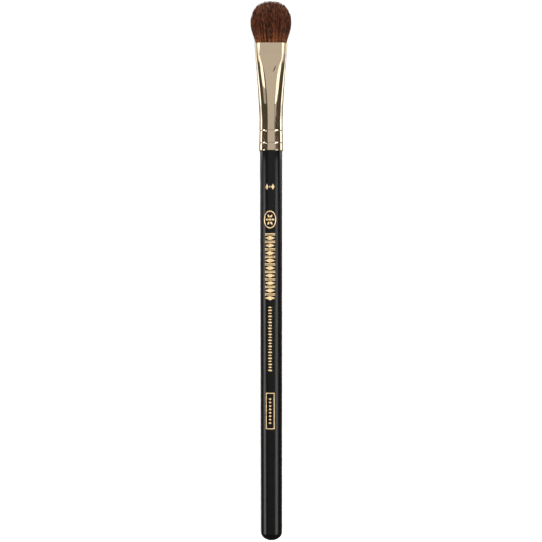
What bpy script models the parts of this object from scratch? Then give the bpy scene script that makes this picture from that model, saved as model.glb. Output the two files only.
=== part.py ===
"""A blending brush: a lacquered handle, a metal ferrule pressed flat at its mouth, and a domed tuft of hair.

The brush lies along +Y with its hair at the +Y end and +Z up. Every piece is modelled upright, with its own
+Z along the brush towards the hair, and one empty on the brush's axis lays them all down together. A depth
is measured from the ferrule's mouth down into the ferrule, in metres like every other length.
"""

import math
import random

import bmesh
import bpy
from mathutils import Vector

# Lengths along the brush
HANDLE_LENGTH = 0.1232
FERRULE_ROUND_LENGTH = 0.0095
FERRULE_PRESSED_LENGTH = 0.0246
HAIR_LENGTH = 0.0127

# Handle: its step inside the ferrule's rear edge, its taper to the butt, and its tenon
HANDLE_STEP = 0.00023
HANDLE_TAPER = 0.00016
BUTT_ROUND = 0.0026
SHOULDER_ROUND = 0.0001
TENON_CHAMFER = 0.0003
TENON_END_GAP = 0.0004

# Ferrule: its round part, its pressed mouth and its crimp grooves
FERRULE_REAR_RADIUS = 0.003715
FERRULE_TAPER = 0.000115
FERRULE_WALL = 0.00025
FERRULE_REAR_CHAMFER = 0.00007
MOUTH_HALF_WIDTH = 0.0052
MOUTH_HALF_THICKNESS = 0.00185
MOUTH_FLAT_LENGTH = 0.0045
MOUTH_LIP = 0.00006
CRIMP_INSET = 0.0023
CRIMP_PITCH = 0.0039
CRIMP_HALF_WIDTH = 0.00042
CRIMP_DEPTH = 0.00014

# Glue in the tenon's joint, the gap on each side of it, and the gap at the handle's shoulder
GLUE_THICKNESS = 0.0002
GLUE_GAP = 0.0001
SHOULDER_GAP = 0.0001

# Hair: its root in the ferrule, its belly and its crown
BACKING_DEPTH = 0.0004
ROOT_END_LENGTH = 0.00214
ROOT_GAP = 0.00015
BELLY_HEIGHT = 0.0065
BELLY_HALF_WIDTH = 0.00646
BELLY_HALF_THICKNESS = 0.00388
TIP_UNEVENNESS = 0.0007

# Thread wound round the root, and the resin plug behind the root
THREAD_DIAMETER = 0.00032
THREAD_PITCH = 0.00076
THREAD_GAP = 0.0001
WAIST_DEPTH = 0.0052
WAIST_SLOPE = 0.0003
CEMENT_GAP = 0.0003
CEMENT_LENGTH = 0.003

# Shares and powers that shape the pieces
FLARE_POWER = 1.3
PRESS_POWER = 1.2
PRESSED_RING_SHARES = (0.1, 0.2, 0.3, 0.4, 0.5, 0.6, 0.7, 0.8, 0.9)
ROOT_SQUARENESS = 3.2
BELLY_SQUARENESS = 2.0
CROWN_SQUARENESS = 2.3
CROWN_CLOSING_SHARE = 0.13
STRAND_INSET_SHARE = 0.013
STRAND_TIP_SHARE = 0.45
STRAND_BEND_SHARES = (0.42, 0.92)
STRAND_ROWS_ANGLE = math.radians(17)

# Counts, and the limits of merging and of smooth shading
CRIMP_COUNT = 2
TURN_STEPS = 36
BUTT_STEPS = 7
CEMENT_STEPS = 3
STRAND_COLUMNS = 12
STRAND_ROWS = 13
CROWN_ROUNDS = 6
TIP_SEED = 4
THREAD_TURNS = 4
THREAD_TURN_POINTS = 24
THREAD_BEVEL_RESOLUTION = 1
MERGE_DISTANCE = 0.00001
SMOOTH_ANGLE = math.radians(35)

FERRULE_LENGTH = FERRULE_ROUND_LENGTH + FERRULE_PRESSED_LENGTH
FERRULE_WAIST_RADIUS = FERRULE_REAR_RADIUS - FERRULE_TAPER
MOUTH_PLACE = HANDLE_LENGTH + FERRULE_LENGTH
BRUSH_LENGTH = MOUTH_PLACE + HAIR_LENGTH
TENON_LENGTH = FERRULE_ROUND_LENGTH - TENON_END_GAP
GLUE_OUTER_INSET = FERRULE_WALL + GLUE_GAP
GLUE_INNER_INSET = GLUE_OUTER_INSET + GLUE_THICKNESS
TENON_INSET = GLUE_INNER_INSET + GLUE_GAP
WAIST_INSET = THREAD_DIAMETER + THREAD_GAP
WINDING_LENGTH = THREAD_PITCH * THREAD_TURNS
WAIST_LENGTH = WINDING_LENGTH + THREAD_DIAMETER + 2 * (THREAD_GAP + WAIST_SLOPE)
WAIST_END_DEPTH = WAIST_DEPTH + WAIST_LENGTH
ROOT_DEPTH = WAIST_END_DEPTH + ROOT_END_LENGTH


def clear_scene():
    """Removes the objects that the scene starts with."""
    for obj in list(bpy.data.objects):
        bpy.data.objects.remove(obj, do_unlink=True)


def material(name, color, roughness, metallic):
    """A Principled material of one colour."""
    made = bpy.data.materials.new(name)
    made.use_nodes = True
    shader = made.node_tree.nodes["Principled BSDF"]
    shader.inputs["Base Color"].default_value = (*color, 1.0)
    shader.inputs["Roughness"].default_value = roughness
    shader.inputs["Metallic"].default_value = metallic
    made.diffuse_color = (*color, 1.0)
    return made


def round_radius(height):
    """The ferrule's outer radius at a height above its rear edge, before crimping and pressing."""
    return FERRULE_REAR_RADIUS - FERRULE_TAPER * min(height / FERRULE_ROUND_LENGTH, 1)


def crimp_centres():
    """The heights of the crimp grooves above the ferrule's rear edge."""
    return [CRIMP_INSET + CRIMP_PITCH * number for number in range(CRIMP_COUNT)]


def crimp_depth(height):
    """How deep the crimps press in at a height above the ferrule's rear edge."""
    nearest = min(abs(height - centre) for centre in crimp_centres())
    return CRIMP_DEPTH * max(1 - nearest / CRIMP_HALF_WIDTH, 0)


def crimped_side(inset, low, high):
    """(radius, height) points up the round part, at an inset from its outer surface, crimps included."""
    heights = [low, high]
    for centre in crimp_centres():
        heights += [centre - CRIMP_HALF_WIDTH, centre, centre + CRIMP_HALF_WIDTH]
    kept = sorted(height for height in heights if low <= height <= high)
    return [(round_radius(height) - crimp_depth(height) - inset, height) for height in kept]


def ferrule_section(depth):
    """The ferrule's outer half width and half thickness at a depth below its mouth."""
    if depth >= FERRULE_PRESSED_LENGTH:
        radius = round_radius(FERRULE_LENGTH - depth)
        return radius, radius
    spread = (1 - depth / FERRULE_PRESSED_LENGTH) ** FLARE_POWER
    half_width = FERRULE_WAIST_RADIUS + (MOUTH_HALF_WIDTH - FERRULE_WAIST_RADIUS) * spread
    share = max(depth - MOUTH_FLAT_LENGTH, 0) / (FERRULE_PRESSED_LENGTH - MOUTH_FLAT_LENGTH)
    opening = (1 - math.cos(math.pi * share**PRESS_POWER)) / 2
    half_thickness = MOUTH_HALF_THICKNESS + (FERRULE_WAIST_RADIUS - MOUTH_HALF_THICKNESS) * opening
    return half_width, half_thickness


def pressed_depths():
    """Depths of the rings that shape the pressed part, from the end of the mouth's flat downwards."""
    run = FERRULE_PRESSED_LENGTH - MOUTH_FLAT_LENGTH
    return [MOUTH_FLAT_LENGTH] + [MOUTH_FLAT_LENGTH + run * share for share in PRESSED_RING_SHARES]


def press_flat(mesh, mouth_height):
    """Presses a turned mesh between two flats, as the ferrule is pressed.

    The round section becomes a slot with round ends, and each point keeps its distance below the outer
    surface, so a wall stays as thick as it was drawn."""
    for vertex in mesh.vertices:
        radius = math.hypot(vertex.co.x, vertex.co.y)
        depth = mouth_height - vertex.co.z
        if radius < MERGE_DISTANCE or depth >= FERRULE_PRESSED_LENGTH:
            continue
        half_width, half_thickness = ferrule_section(depth)
        end_radius = half_thickness - (FERRULE_WAIST_RADIUS - radius)
        shift = math.copysign(half_width - half_thickness, vertex.co.x)
        vertex.co.x = end_radius * vertex.co.x / radius + shift
        vertex.co.y = end_radius * vertex.co.y / radius


def turned(name, profile, closed):
    """An object turned about Z from a profile of (radius, height) points that runs down its outer side.

    The profile stands half a step round from +X, so that the middle of a facet faces each flat."""
    half_step = math.pi / TURN_STEPS
    points = [
        (radius * math.cos(half_step), radius * math.sin(half_step), height)
        for radius, height in profile
    ]
    edges = [(number, number + 1) for number in range(len(points) - 1)]
    if closed:
        edges.append((len(points) - 1, 0))
    outline = bpy.data.meshes.new(name + "_profile")
    outline.from_pydata(points, edges, [])
    obj = bpy.data.objects.new(name, outline)
    screw = obj.modifiers.new("Turn", "SCREW")
    screw.axis = "Z"
    screw.steps = TURN_STEPS
    screw.render_steps = TURN_STEPS
    screw.use_merge_vertices = True
    screw.merge_threshold = MERGE_DISTANCE
    bake(obj)
    return obj


def bake(obj):
    """Applies the object's modifiers to its own mesh and shades it smooth between its hard edges."""
    bpy.context.scene.collection.objects.link(obj)
    graph = bpy.context.evaluated_depsgraph_get()
    mesh = bpy.data.meshes.new_from_object(obj.evaluated_get(graph))
    bpy.context.scene.collection.objects.unlink(obj)
    obj.modifiers.clear()
    obj.data = mesh
    mesh.shade_smooth()
    mesh.set_sharp_from_angle(angle=SMOOTH_ANGLE)


def make_handle():
    """The handle: a domed butt, a slight taper, a shoulder and a tenon dented by the crimps."""
    shoulder_radius = FERRULE_REAR_RADIUS - HANDLE_STEP
    shoulder = HANDLE_LENGTH - SHOULDER_GAP
    tenon = crimped_side(TENON_INSET, -SHOULDER_GAP, TENON_LENGTH - TENON_CHAMFER)
    end_radius = tenon[-1][0] - TENON_CHAMFER
    profile = [(0, HANDLE_LENGTH + TENON_LENGTH), (end_radius, HANDLE_LENGTH + TENON_LENGTH)]
    profile += [(radius, HANDLE_LENGTH + height) for radius, height in reversed(tenon)]
    profile.append((shoulder_radius - SHOULDER_ROUND, shoulder))
    profile.append((shoulder_radius, shoulder - SHOULDER_ROUND))
    for step in range(BUTT_STEPS):
        angle = math.pi / 2 * step / BUTT_STEPS
        radius = (shoulder_radius - HANDLE_TAPER) * math.cos(angle)
        profile.append((radius, BUTT_ROUND * (1 - math.sin(angle))))
    profile.append((0, 0))
    return turned("handle", profile, closed=False)


def make_ferrule():
    """The ferrule: a drawn tube with two crimps on its round part, pressed to a wide flat mouth."""
    inner_radius = FERRULE_WAIST_RADIUS - FERRULE_WALL
    outer = [(FERRULE_WAIST_RADIUS - MOUTH_LIP, FERRULE_LENGTH)]
    outer.append((FERRULE_WAIST_RADIUS, FERRULE_LENGTH - MOUTH_LIP))
    outer += [(FERRULE_WAIST_RADIUS, FERRULE_LENGTH - depth) for depth in pressed_depths()]
    outer += reversed(crimped_side(0, FERRULE_REAR_CHAMFER, FERRULE_ROUND_LENGTH))
    outer.append((FERRULE_REAR_RADIUS - FERRULE_REAR_CHAMFER, 0))
    inner = crimped_side(FERRULE_WALL, 0, FERRULE_ROUND_LENGTH)
    inner += [(inner_radius, FERRULE_LENGTH - depth) for depth in reversed(pressed_depths())]
    inner.append((inner_radius, FERRULE_LENGTH))
    ferrule = turned("ferrule", outer + inner, closed=True)
    press_flat(ferrule.data, FERRULE_LENGTH)
    return ferrule


def make_tenon_adhesive():
    """The sleeve of glue between tenon and ferrule, which follows the crimps."""
    high = TENON_LENGTH - TENON_CHAMFER
    outer = crimped_side(GLUE_OUTER_INSET, GLUE_GAP, high)
    inner = crimped_side(GLUE_INNER_INSET, GLUE_GAP, high)
    return turned("tenon_adhesive", list(reversed(outer)) + inner, closed=True)


def make_root_cement():
    """The resin plug behind the hair's root, in the shape of the ferrule's inside."""
    top = -ROOT_DEPTH - CEMENT_GAP
    radius = FERRULE_WAIST_RADIUS - FERRULE_WALL - ROOT_GAP
    profile = [(0, top)]
    profile += [(radius, top - CEMENT_LENGTH * step / CEMENT_STEPS) for step in range(CEMENT_STEPS + 1)]
    profile.append((0, top - CEMENT_LENGTH))
    cement = turned("root_cement", profile, closed=False)
    press_flat(cement.data, 0)
    return cement


def root_section(depth):
    """Half width and half thickness of the hair's root, which fills the ferrule but for a gap."""
    half_width, half_thickness = ferrule_section(depth)
    return half_width - FERRULE_WALL - ROOT_GAP, half_thickness - FERRULE_WALL - ROOT_GAP


def waist_inset(depth):
    """How far the root is drawn in at a depth, to take the thread."""
    inside = min(depth - WAIST_DEPTH, WAIST_END_DEPTH - depth)
    return WAIST_INSET * min(max(inside / WAIST_SLOPE, 0), 1)


def oval_point(across, up, half_width, half_thickness, squareness):
    """A point of the unit disc laid into an oval, an ellipse at squareness 2 and near a slot above 3."""
    radius = math.hypot(across, up)
    if radius == 0:
        return 0.0, 0.0
    powers = abs(across / radius) ** squareness + abs(up / radius) ** squareness
    bulge = powers ** (-1 / squareness)
    return half_width * across * bulge, half_thickness * up * bulge


def crown_share(radius):
    """Where hair from a disc radius meets the dome, as a share of the way from belly to crown."""
    share = 0.0
    for _ in range(CROWN_ROUNDS):
        reach = min(radius * (1 - CROWN_CLOSING_SHARE * share**2), 1)
        share = (1 - reach**CROWN_SQUARENESS) ** (1 / CROWN_SQUARENESS)
    return share


def hair_section(height):
    """Half width, half thickness and squareness of the tuft, at a height above the ferrule's mouth."""
    rise = min(height / BELLY_HEIGHT, 1)
    swell = math.sin(math.pi / 2 * rise)
    closing = max(height - BELLY_HEIGHT, 0) / (HAIR_LENGTH - BELLY_HEIGHT)
    narrow = 1 - CROWN_CLOSING_SHARE * closing**2
    mouth_width, mouth_thickness = root_section(0)
    half_width = (mouth_width + (BELLY_HALF_WIDTH - mouth_width) * swell) * narrow
    half_thickness = (mouth_thickness + (BELLY_HALF_THICKNESS - mouth_thickness) * swell) * narrow
    return half_width, half_thickness, ROOT_SQUARENESS + (BELLY_SQUARENESS - ROOT_SQUARENESS) * rise


def tuft_point(across, up, height):
    """Where the hair at a point of the unit disc lies, at a height above the mouth or below it."""
    if height > 0:
        half_width, half_thickness, squareness = hair_section(height)
    else:
        half_width, half_thickness = (side - waist_inset(-height) for side in root_section(-height))
        squareness = ROOT_SQUARENESS
    return (*oval_point(across, up, half_width, half_thickness, squareness), height)


def disc_point(across, up):
    """A point of the unit square moved into the unit disc, so that each square ring becomes a circle.

    The disc is turned a little, so that no row of gaps faces straight up or sideways."""
    if abs(across) > abs(up):
        radius = across
        angle = math.pi / 4 * up / across
    elif up:
        radius = up
        angle = math.pi / 2 - math.pi / 4 * across / up
    else:
        return 0.0, 0.0
    angle += STRAND_ROWS_ANGLE
    return radius * math.cos(angle), radius * math.sin(angle)


def grow_root(bed, rim):
    """Draws the disc's rim down in rings to the root's end, through the waist, and closes it."""
    waist = [WAIST_DEPTH, WAIST_DEPTH + WAIST_SLOPE, WAIST_END_DEPTH - WAIST_SLOPE, WAIST_END_DEPTH]
    for depth in [*waist, ROOT_DEPTH]:
        made = bmesh.ops.extrude_edge_only(bed, edges=rim)["geom"]
        rim = [item for item in made if isinstance(item, bmesh.types.BMEdge)]
        for vertex in {vertex for edge in rim for vertex in edge.verts}:
            vertex.co.z = -depth
    bmesh.ops.edgeloop_fill(bed, edges=rim)


def grow_strands(bed, faces):
    """Grows a strand from each face of the disc, up through the belly to the crown's dome."""
    uneven = random.Random(TIP_SEED)
    bmesh.ops.inset_individual(bed, faces=faces, thickness=STRAND_INSET_SHARE, use_even_offset=True)
    for share in STRAND_BEND_SHARES:
        faces = bmesh.ops.extrude_discrete_faces(bed, faces=faces)["faces"]
        for vertex in {vertex for face in faces for vertex in face.verts}:
            vertex.co.z = BELLY_HEIGHT * share
    for face in bmesh.ops.extrude_discrete_faces(bed, faces=faces)["faces"]:
        centre = face.calc_center_median()
        radius = max(math.hypot(vertex.co.x, vertex.co.y) for vertex in face.verts)
        rise = (HAIR_LENGTH - BELLY_HEIGHT) * crown_share(radius)
        centre.z = BELLY_HEIGHT + rise - TIP_UNEVENNESS * radius * uneven.random()
        for vertex in face.verts:
            drawn_in = centre.lerp(vertex.co, STRAND_TIP_SHARE)
            vertex.co = Vector((drawn_in.x, drawn_in.y, centre.z))


def make_hair_tuft():
    """The hair: strands of three sides, fused to the block of cemented hair that is their root.

    They are grown on a unit disc, where neighbours can't cross, and the disc is then laid into the oval
    section that the bundle has at each height."""
    bed = bmesh.new()
    bmesh.ops.create_grid(bed, x_segments=STRAND_COLUMNS, y_segments=STRAND_ROWS, size=1)
    for vertex in bed.verts:
        vertex.co = Vector((*disc_point(vertex.co.x, vertex.co.y), -BACKING_DEPTH))
    bmesh.ops.triangulate(bed, faces=bed.faces[:], quad_method="SHORT_EDGE")
    cells = bed.faces[:]
    grow_root(bed, [edge for edge in bed.edges if edge.is_boundary])
    grow_strands(bed, cells)
    for vertex in bed.verts:
        vertex.co = Vector(tuft_point(*vertex.co))
    bmesh.ops.recalc_face_normals(bed, faces=bed.faces[:])
    mesh = bpy.data.meshes.new("hair_tuft")
    bed.to_mesh(mesh)
    bed.free()
    return bpy.data.objects.new("hair_tuft", mesh)


def thread_points():
    """The path of the thread's middle: an oval winding in the waist, its outside level with the root."""
    top = WAIST_DEPTH + WAIST_SLOPE + THREAD_GAP + THREAD_DIAMETER / 2
    points = []
    for number in range(THREAD_TURNS * THREAD_TURN_POINTS + 1):
        turns = number / THREAD_TURN_POINTS
        depth = top + THREAD_PITCH * turns
        angle = 2 * math.pi * turns
        sides = (side - THREAD_DIAMETER / 2 for side in root_section(depth))
        across, up = oval_point(math.cos(angle), math.sin(angle), *sides, ROOT_SQUARENESS)
        points.append(Vector((across, up, -depth)))
    return points


def print_least_gap(points):
    """Prints the least gap between the thread and its own neighbouring turns."""
    half_turn = THREAD_TURN_POINTS // 2
    apart = min(
        (later - earlier).length
        for number, earlier in enumerate(points)
        for later in points[number + half_turn :]
    )
    print(f"binding_thread: least gap to itself {apart - THREAD_DIAMETER:.6f} m")


def make_binding_thread():
    """The thread wound round the hair's root, as one tube."""
    points = thread_points()
    print_least_gap(points)
    curve = bpy.data.curves.new("binding_thread", "CURVE")
    curve.dimensions = "3D"
    curve.bevel_depth = THREAD_DIAMETER / 2
    curve.bevel_resolution = THREAD_BEVEL_RESOLUTION
    curve.use_fill_caps = True
    spline = curve.splines.new("POLY")
    spline.points.add(len(points) - 1)
    for target, point in zip(spline.points, points):
        target.co = (*point, 1)
    return bpy.data.objects.new("binding_thread", curve)


def build():
    """Makes every piece, strings them along the brush's axis and lays the brush down."""
    clear_scene()
    collection = bpy.data.collections.new("blending_brush")
    bpy.context.scene.collection.children.link(collection)
    axis = bpy.data.objects.new("brush_axis", None)
    collection.objects.link(axis)

    lacquer = material("black_lacquer", (0.012, 0.012, 0.012), 0.28, 0.0)
    plating = material("pale_gold_plating", (0.72, 0.62, 0.46), 0.16, 1.0)
    glue = material("wood_glue", (0.78, 0.68, 0.45), 0.5, 0.0)
    resin = material("amber_resin", (0.62, 0.42, 0.18), 0.3, 0.0)
    cotton = material("cotton_thread", (0.75, 0.72, 0.66), 0.9, 0.0)
    hair = material("brown_hair", (0.09, 0.035, 0.02), 0.55, 0.0)

    ferrule = make_ferrule()
    tuft = make_hair_tuft()
    pieces = (
        (make_handle(), 0, lacquer),
        (ferrule, HANDLE_LENGTH, plating),
        (make_tenon_adhesive(), HANDLE_LENGTH, glue),
        (make_root_cement(), MOUTH_PLACE, resin),
        (make_binding_thread(), MOUTH_PLACE, cotton),
        (tuft, MOUTH_PLACE, hair),
    )
    for obj, height, finish in pieces:
        collection.objects.link(obj)
        obj.parent = axis
        obj.location.z = height
        obj.data.materials.clear()
        obj.data.materials.append(finish)

    # Each piece's own +Y faces down once the brush is laid, so its furthest point there sets the rest.
    rest_height = max(vertex.co.y for obj in (ferrule, tuft) for vertex in obj.data.vertices)
    axis.location = (0, -BRUSH_LENGTH / 2, rest_height)
    axis.rotation_euler = (-math.pi / 2, 0, 0)


build()
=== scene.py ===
"""A blending brush lying on a pale studio table.

The handle is turned wood under black lacquer with a gold foil print, the ferrule is a pale gold plated tube,
crimped on the handle and pressed flat at its mouth, and the tuft is soft brown hair cut to a dome. Each of
them is modelled upright, with +Z along the brush and zero at the ferrule's mouth, and is then laid along +Y
on the brush's own axis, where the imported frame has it. Lengths are in metres.
"""

import logging
import math
import random
from collections.abc import Iterable, Sequence
from dataclasses import dataclass
from enum import Enum

import bmesh
import bpy
from mathutils import Matrix, Vector, kdtree


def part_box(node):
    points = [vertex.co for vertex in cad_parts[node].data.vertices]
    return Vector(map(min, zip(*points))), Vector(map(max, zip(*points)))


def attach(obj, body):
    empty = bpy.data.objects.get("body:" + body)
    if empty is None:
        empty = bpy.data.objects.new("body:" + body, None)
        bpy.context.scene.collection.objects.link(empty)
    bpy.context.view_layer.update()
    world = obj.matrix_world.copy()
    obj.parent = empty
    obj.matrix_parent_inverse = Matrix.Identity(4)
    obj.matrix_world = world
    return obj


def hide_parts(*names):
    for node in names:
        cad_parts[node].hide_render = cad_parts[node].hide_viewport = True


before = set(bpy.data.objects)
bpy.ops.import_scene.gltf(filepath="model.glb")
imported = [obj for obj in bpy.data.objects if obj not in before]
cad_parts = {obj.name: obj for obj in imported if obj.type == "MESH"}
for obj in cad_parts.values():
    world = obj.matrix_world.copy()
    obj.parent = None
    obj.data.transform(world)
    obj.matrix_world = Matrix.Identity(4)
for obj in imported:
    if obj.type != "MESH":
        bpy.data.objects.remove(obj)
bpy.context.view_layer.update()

LOG = logging.getLogger("blending_brush")
MM = 0.001
BODY = "root"
SMOOTH_ANGLE = math.radians(40)
MERGE_DISTANCE = 0.0005 * MM
LEAST_EDGE = 0.00005 * MM
# How a spin goes all the way round +Z
FULL_TURN = {"cent": (0, 0, 0), "axis": (0, 0, 1), "angle": math.tau, "use_merge": True}
# Where a curve is read to blend its corners, as shares of the blend's half width
BLEND_SHARES = (-1.0, -0.5, 0.0, 0.5, 1.0)
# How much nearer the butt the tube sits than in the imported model, as the photograph shows it
FERRULE_SEAT = 0.25 * MM

# Places of a colour Mix node's sockets, which share their names with its number sockets
MIX_A, MIX_B, MIX_RESULT = 6, 7, 2
# What makes a range fall from one to zero
FALLING = {"To Min": 1.0, "To Max": 0.0}

Point2 = tuple[float, float]
Point3 = tuple[float, float, float]


def linear(hex_code: str) -> tuple[float, ...]:
    """Turns an sRGB hex colour to linear.

    Args:
        hex_code: Six hex digits.

    Returns:
        Linear red, green and blue, and an alpha of one.
    """
    shares = [int(hex_code[start : start + 2], 16) / 255 for start in (0, 2, 4)]
    lit = (share / 12.92 if share <= 0.04045 else ((share + 0.055) / 1.055) ** 2.4 for share in shares)
    return *lit, 1.0


def feed(node: bpy.types.Node, inputs: dict[str | int, object]) -> None:
    """Gives a node's inputs their values and links.

    Args:
        node: The node.
        inputs: What each input gets: a value, an output socket, or a node, whose first output feeds it.
    """
    for key, value in inputs.items():
        if isinstance(value, bpy.types.Node):
            value = value.outputs[0]
        if isinstance(value, bpy.types.NodeSocket):
            node.id_data.links.new(value, node.inputs[key])
        else:
            node.inputs[key].default_value = value


def add_node(
    tree: bpy.types.NodeTree,
    kind: str,
    inputs: dict[str | int, object] | None = None,
    **settings: object,
) -> bpy.types.Node:
    """Adds a shader node with its settings, its values and its links.

    Args:
        tree: The tree that gets the node.
        kind: Blender's name of the node's type, without the "ShaderNode" that it starts with.
        inputs: What each input gets, as for feed().
        settings: The node's own properties.

    Returns:
        The node.
    """
    node = tree.nodes.new("ShaderNode" + kind)
    for name, value in settings.items():
        setattr(node, name, value)
    feed(node, inputs or {})
    return node


def limits(side: str, ends: Point2) -> dict[str, float]:
    """The two inputs on one side of a range, "From" or "To", by their names."""
    return {f"{side} Min": ends[0], f"{side} Max": ends[1]}


def drawn_out(size: Point2) -> Point3:
    """The scale of a pattern that is as wide as the first size, and as long as the second along the brush."""
    return 1 / size[0], 1 / size[1], 1 / size[0]


def principled(
    name: str, constants: dict[str, object]
) -> tuple[bpy.types.Material, bpy.types.Node, bpy.types.NodeSocket]:
    """Starts a material whose one shader is Principled.

    Args:
        name: The material's name.
        constants: What is the same all over the surface, by the shader's sockets.

    Returns:
        The material, its shader, and the place on the piece that its patterns read.
    """
    made = bpy.data.materials.new(name)
    made.use_nodes = True
    shader = made.node_tree.nodes["Principled BSDF"]
    feed(shader, constants)
    return made, shader, add_node(made.node_tree, "TexCoord").outputs["Object"]


def smooth_step(low: float, high: float, value: float) -> float:
    """Goes smoothly from zero up to one.

    Args:
        low: Where it starts to rise.
        high: Where it has risen.
        value: Where to read it.

    Returns:
        How far it has risen there.
    """
    share = min(max((value - low) / (high - low), 0.0), 1.0)
    return share * share * (3 - 2 * share)


def read_curve(curve: Sequence[Point2], place: float, blend: float) -> float:
    """Reads a curve of straight pieces, with its corners blended.

    Args:
        curve: (place, value) points, in order.
        place: Where to read it.
        blend: How far to each side of the place the values are averaged.

    Returns:
        The value there.
    """
    total = 0.0
    for share in BLEND_SHARES:
        spot = min(max(place + share * blend, curve[0][0]), curve[-1][0])
        for (start, low), (end, high) in zip(curve, curve[1:]):
            if spot <= end:
                total += low + (high - low) * (spot - start) / (end - start)
                break
    return total / len(BLEND_SHARES)


@dataclass(frozen=True)
class BrushAxis:
    """Where the brush lies in the frame.

    Attributes:
        mouth: The ferrule's mouth, along Y.
        rear: The ferrule's rear edge, along Y.
        butt: The handle's end, along Y.
        height: The axis above the table.
    """

    mouth: float
    rear: float
    butt: float
    height: float

    @classmethod
    def from_frame(cls) -> "BrushAxis":
        """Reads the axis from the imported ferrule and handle."""
        low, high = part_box("ferrule")
        return cls(high.y - FERRULE_SEAT, low.y - FERRULE_SEAT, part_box("handle")[0].y, (low.z + high.z) / 2)

    def lay_down(self, shape: bmesh.types.BMesh) -> None:
        """Lays an upright shape along the brush's axis."""
        matrix = Matrix.Translation((0, self.mouth, self.height)) @ Matrix.Rotation(-math.pi / 2, 4, "X")
        bmesh.ops.transform(shape, matrix=matrix, verts=shape.verts[:])


def add_piece(
    name: str,
    shape: bmesh.types.BMesh,
    material: bpy.types.Material,
    stands_for: Sequence[str] = (),
) -> None:
    """Makes an object of a finished shape, and lets it ride on the brush.

    Args:
        name: The piece's name.
        shape: Its mesh, already in place. It is freed here.
        material: Its finish.
        stands_for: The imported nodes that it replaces.
    """
    mesh = bpy.data.meshes.new(name)
    shape.to_mesh(mesh)
    shape.free()
    mesh.shade_smooth()
    mesh.set_sharp_from_angle(angle=SMOOTH_ANGLE)
    mesh.materials.append(material)
    piece = bpy.data.objects.new(name, mesh)
    bpy.context.scene.collection.objects.link(piece)
    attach(piece, BODY)
    if stands_for:
        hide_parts(*stands_for)
    mesh.calc_loop_triangles()
    LOG.info("%s: %d triangles", name, len(mesh.loop_triangles))


def picked(geometry: Iterable[object], kind: type) -> list:
    """Picks the elements of one kind out of what an operator made."""
    return [item for item in geometry if isinstance(item, kind)]


def quarter_turn(steps: int) -> list[float]:
    """The angles from zero to a quarter turn, in equal steps."""
    return [math.pi / 2 * number / steps for number in range(steps + 1)]


def turned(profile: Iterable[Point2], steps: int, closed: bool) -> bmesh.types.BMesh:
    """Spins a profile round +Z.

    Args:
        profile: (radius, height) points, in order.
        steps: How many steps a full turn takes.
        closed: Whether the last point joins the first, as in a tube with a wall.

    Returns:
        The turned shape, closed and facing outwards.
    """
    shape = bmesh.new()
    corners = [shape.verts.new((radius, 0, height)) for radius, height in profile]
    sides = [shape.edges.new(pair) for pair in zip(corners, corners[1:])]
    if closed:
        sides.append(shape.edges.new((corners[-1], corners[0])))
    bmesh.ops.spin(shape, geom=corners + sides, **FULL_TURN, steps=steps)
    bmesh.ops.remove_doubles(shape, verts=shape.verts[:], dist=MERGE_DISTANCE)
    bmesh.ops.dissolve_degenerate(shape, edges=shape.edges[:], dist=LEAST_EDGE)
    bmesh.ops.recalc_face_normals(shape, faces=shape.faces[:])
    return shape


@dataclass(frozen=True)
class BlackLacquer:
    """Black lacquer, sprayed on turned birch and rubbed down to satin.

    It gives the eye a near black with soft stripes of light, a faint orange peel and fine rubs along the
    wood.
    """

    ior: float = 1.4
    colour: str = "060606"
    worn_colour: str = "0D0C0B"
    roughness: Point2 = (0.24, 0.32)
    peel_size: float = 0.9 * MM
    peel_height: float = 0.004 * MM
    rub_size: Point2 = (0.12 * MM, 9 * MM)
    rub_range: Point2 = (0.55, 0.75)

    def material(self) -> bpy.types.Material:
        """Builds the lacquer's nodes.

        Returns:
            The material.
        """
        made, shader, place = principled("black_satin_lacquer", {"IOR": self.ior})
        tree = made.node_tree
        stretched = add_node(tree, "Mapping", {"Vector": place, "Scale": drawn_out(self.rub_size)})
        rubs = add_node(tree, "TexNoise", {"Vector": stretched, "Scale": 1.0, "Detail": 2.0})
        wear = add_node(tree, "MapRange", {"Value": rubs, **limits("From", self.rub_range)})
        gloss = add_node(tree, "MapRange", {"Value": wear, **limits("To", self.roughness)})
        colours = {MIX_A: linear(self.colour), MIX_B: linear(self.worn_colour)}
        tint = add_node(tree, "Mix", {"Factor": wear, **colours}, data_type="RGBA").outputs[MIX_RESULT]
        peel = add_node(tree, "TexNoise", {"Vector": place, "Scale": 1 / self.peel_size, "Detail": 1.0})
        relief = add_node(tree, "Bump", {"Height": peel, "Strength": 0.5, "Distance": self.peel_height})
        feed(shader, {"Base Color": tint, "Roughness": gloss, "Normal": relief})
        return made


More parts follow.
